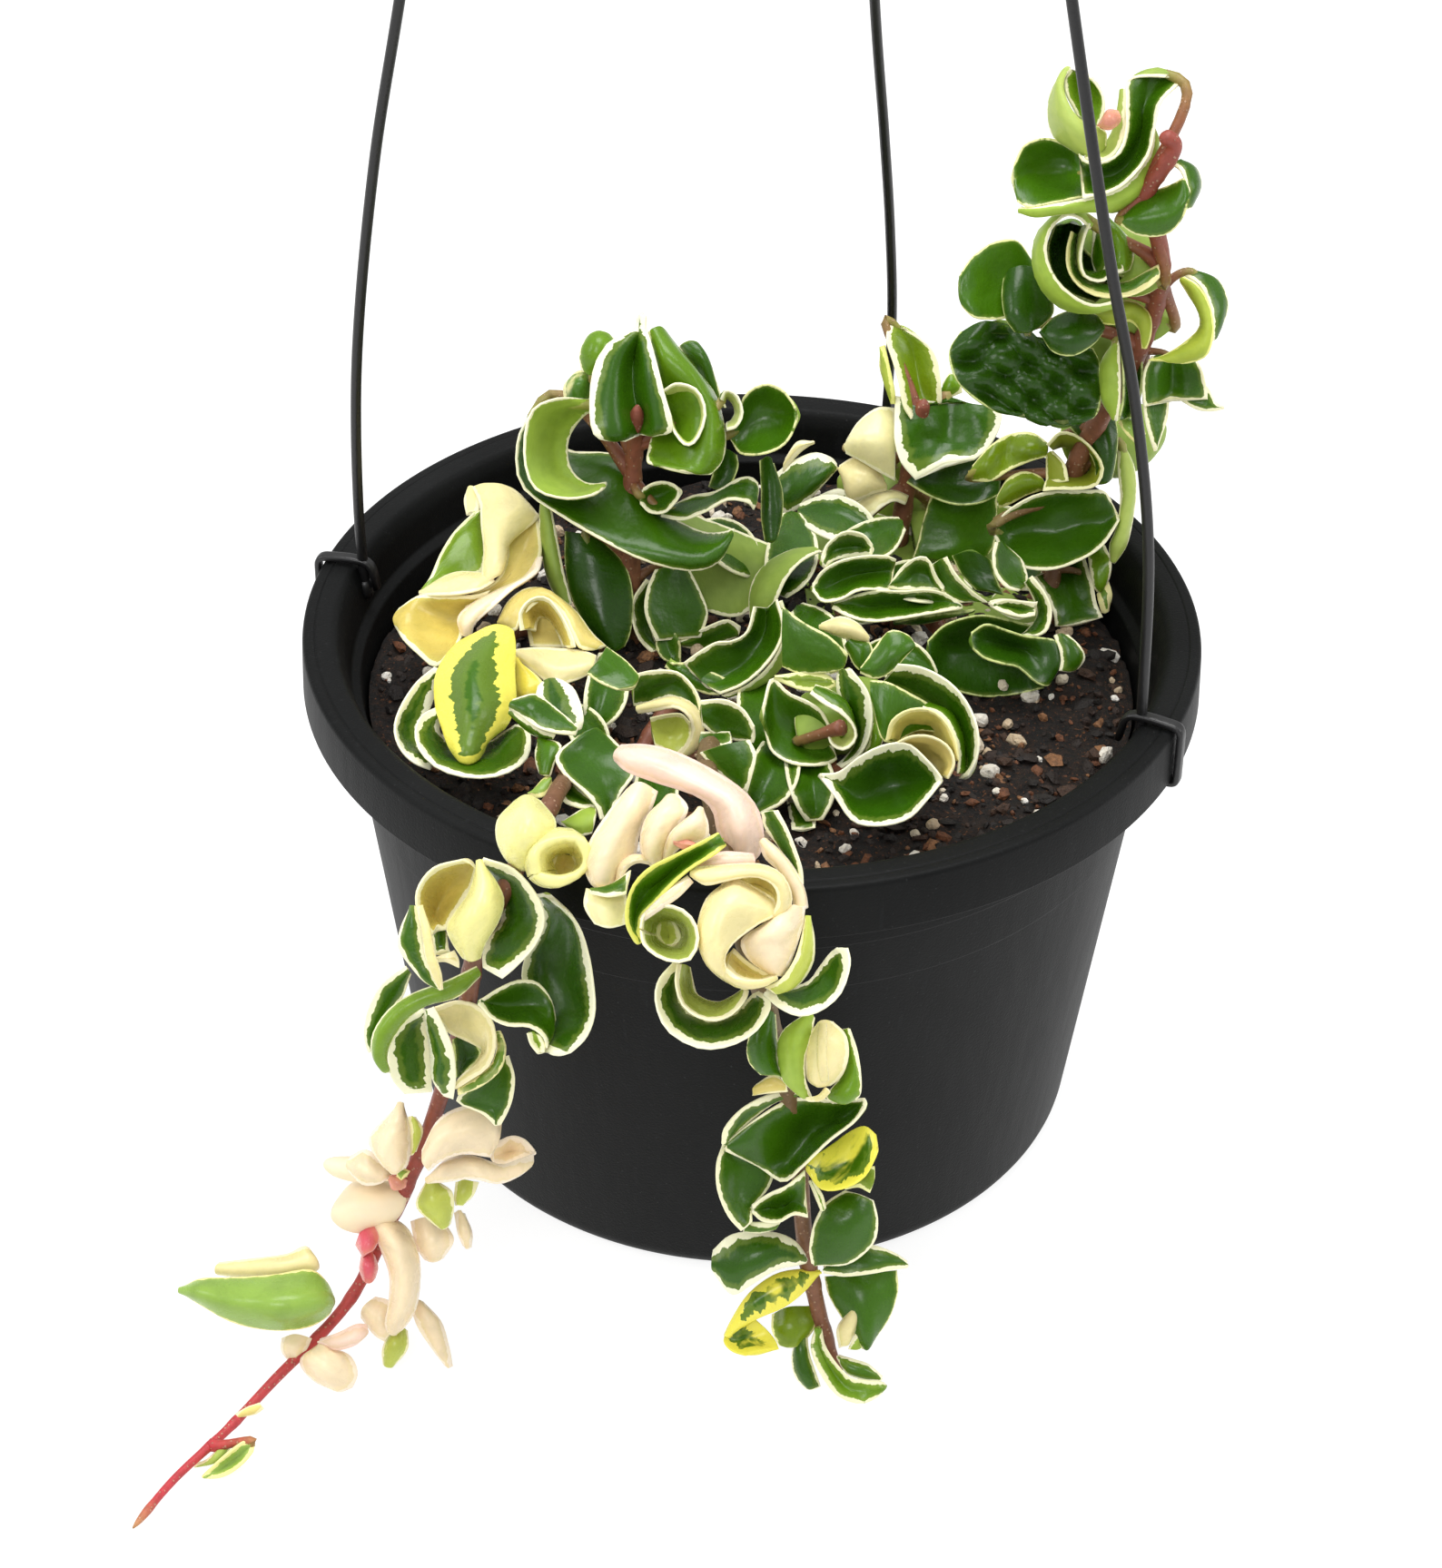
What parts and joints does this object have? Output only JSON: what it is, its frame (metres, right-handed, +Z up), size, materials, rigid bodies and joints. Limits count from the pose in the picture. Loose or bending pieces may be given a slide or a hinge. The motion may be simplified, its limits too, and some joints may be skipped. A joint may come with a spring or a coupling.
{
  "type": "potted variegated hindu rope hoya",
  "caption": "Trailing houseplant with curled variegated waxy leaves in a round hanging nursery pot filled with soil, under a three-strand hanger with an open hook.",
  "frame": {"origin": "centre of the pot's flat underside, on the surface that the pot stands on", "axes": "+Z up along the pot's axis, -Y towards the side that the plant trails over"},
  "size_m": [0.2442, 0.2725, 0.6128],
  "materials": {
    "pot_plastic": "satin",
    "potting_mix": "matte",
    "hanger_plastic": "satin",
    "leaf": "satin"
  },
  "bodies": {
    "root": {"pot": "pot_plastic", "soil": "potting_mix", "strand_left": "hanger_plastic", "strand_right": "hanger_plastic", "strand_back": "hanger_plastic", "hook": "hanger_plastic", "trail_front": "leaf", "stem_right": "leaf", "stem_tall": "leaf", "trail_left": "leaf", "stem_front_right": "leaf", "stem_centre": "leaf", "stem_yellow": "leaf", "stem_mid": "leaf", "stem_back": "leaf"}
  },
  "joints": []
}
